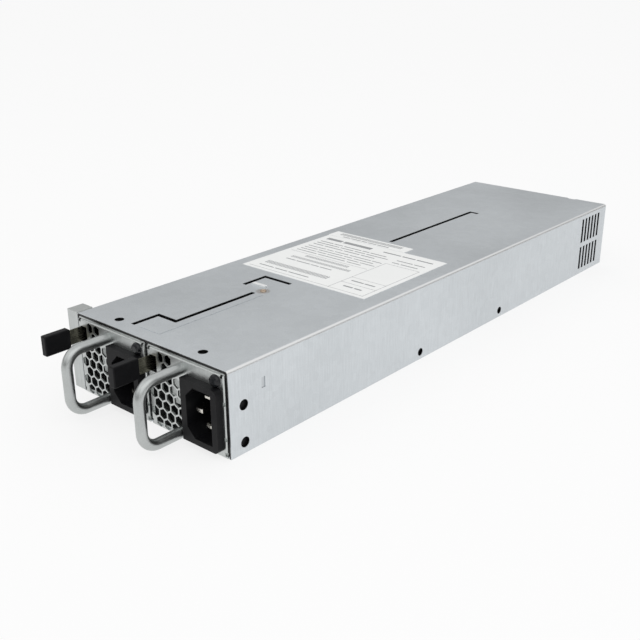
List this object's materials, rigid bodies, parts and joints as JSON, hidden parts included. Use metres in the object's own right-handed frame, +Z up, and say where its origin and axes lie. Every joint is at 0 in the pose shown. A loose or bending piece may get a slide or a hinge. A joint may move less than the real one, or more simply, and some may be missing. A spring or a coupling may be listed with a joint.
{
  "type": "server power supply",
  "caption": "Flat redundant server power supply: a steel cage holding two slide-out modules, each with a mains inlet, loop handle, side latch, lamp and honeycomb grille.",
  "frame": {"origin": "centre of the cage's underside", "axes": "+X to the right seen from the front, +Y from the module faces to the rear, +Z up"},
  "size_m": [0.1117, 0.3779, 0.0417],
  "materials": {
    "zinc_steel": "galvanised sheet, faint vertical grain",
    "module_steel": "galvanised sheet",
    "handle_steel": "satin",
    "spring_steel": "bright",
    "black_plastic": "fine texture",
    "lamp_plastic": "glossy, smoked",
    "pin_metal": "nickel plated",
    "screw_steel": "zinc plated",
    "board_green": "solder mask",
    "can_sleeve": "shrink sleeve",
    "ferrite": "matt",
    "winding": "enamelled copper",
    "sink_metal": "extruded",
    "label_paper": "printed matt film, no words",
    "edging_rubber": "matt",
    "header_plastic": "cream nylon",
    "rivet_metal": "heat-tinted"
  },
  "bodies": {
    "cage": {"cage_cover": "zinc_steel", "cage_base": "zinc_steel", "bay_divider": "zinc_steel", "mounting_ear": "zinc_steel", "rear_panel": "zinc_steel", "harness_grommet": "edging_rubber", "backplane_board": "board_green", "backplane_bracket": "zinc_steel", "backplane_screws": "screw_steel", "module_receptacle_left": "black_plastic", "module_receptacle_right": "black_plastic", "main_output_header": "header_plastic", "side_output_header": "header_plastic", "rating_label": "label_paper", "serial_label": "label_paper", "divider_hook": "module_steel", "divider_rivet": "rivet_metal", "cage_screws": "screw_steel"},
    "module_left": {"module_tray_left": "module_steel", "module_cover_left": "module_steel", "face_plate_left": "module_steel", "module_rear_plate_left": "module_steel", "module_screws_left": "screw_steel", "handle_left": "handle_steel", "handle_screws_left": "screw_steel", "ac_inlet_left": "black_plastic", "inlet_pins_left": "pin_metal", "filter_bracket_left": "module_steel", "lamp_lens_left": "lamp_plastic", "lamp_ring_left": "black_plastic", "fan_frame_left": "black_plastic", "main_board_left": "board_green", "bulk_capacitor_left": "can_sleeve", "filter_choke_left": "winding", "transformer_left": "ferrite", "heat_sink_left": "sink_metal"},
    "latch_left": {"latch_spring_left": "spring_steel", "latch_grip_left": "black_plastic"},
    "fan_left": {"fan_rotor_left": "black_plastic"},
    "module_right": {"module_tray_right": "module_steel", "module_cover_right": "module_steel", "face_plate_right": "module_steel", "module_rear_plate_right": "module_steel", "module_screws_right": "screw_steel", "handle_right": "handle_steel", "handle_screws_right": "screw_steel", "ac_inlet_right": "black_plastic", "inlet_pins_right": "pin_metal", "filter_bracket_right": "module_steel", "lamp_lens_right": "lamp_plastic", "lamp_ring_right": "black_plastic", "fan_frame_right": "black_plastic", "main_board_right": "board_green", "bulk_capacitor_right": "can_sleeve", "filter_choke_right": "winding", "transformer_right": "ferrite", "heat_sink_right": "sink_metal"},
    "latch_right": {"latch_spring_right": "spring_steel", "latch_grip_right": "black_plastic"},
    "fan_right": {"fan_rotor_right": "black_plastic"}
  },
  "joints": [
    {"name": "module_left_slide", "type": "slide", "parent": "cage", "child": "module_left", "axis": [0, -1, 0], "range_m": [0, 0.285]},
    {"name": "latch_left_press", "type": "hinge", "parent": "module_left", "child": "latch_left", "pos_m": [-0.0482, -0.11585, 0.0313], "axis": [0, 0, 1], "range_deg": [0, 2.2], "stiffness_Nm_per_rad": 12},
    {"name": "fan_left_spin", "type": "hinge", "parent": "module_left", "child": "fan_left", "pos_m": [-0.0256, -0.12385, 0.0196], "axis": [0, 1, 0], "continuous": true},
    {"name": "module_right_slide", "type": "slide", "parent": "cage", "child": "module_right", "axis": [0, -1, 0], "range_m": [0, 0.285]},
    {"name": "latch_right_press", "type": "hinge", "parent": "module_right", "child": "latch_right", "pos_m": [0.003, -0.11585, 0.0313], "axis": [0, 0, 1], "range_deg": [0, 2.2], "stiffness_Nm_per_rad": 12},
    {"name": "fan_right_spin", "type": "hinge", "parent": "module_right", "child": "fan_right", "pos_m": [0.0256, -0.12385, 0.0196], "axis": [0, 1, 0], "continuous": true}
  ]
}
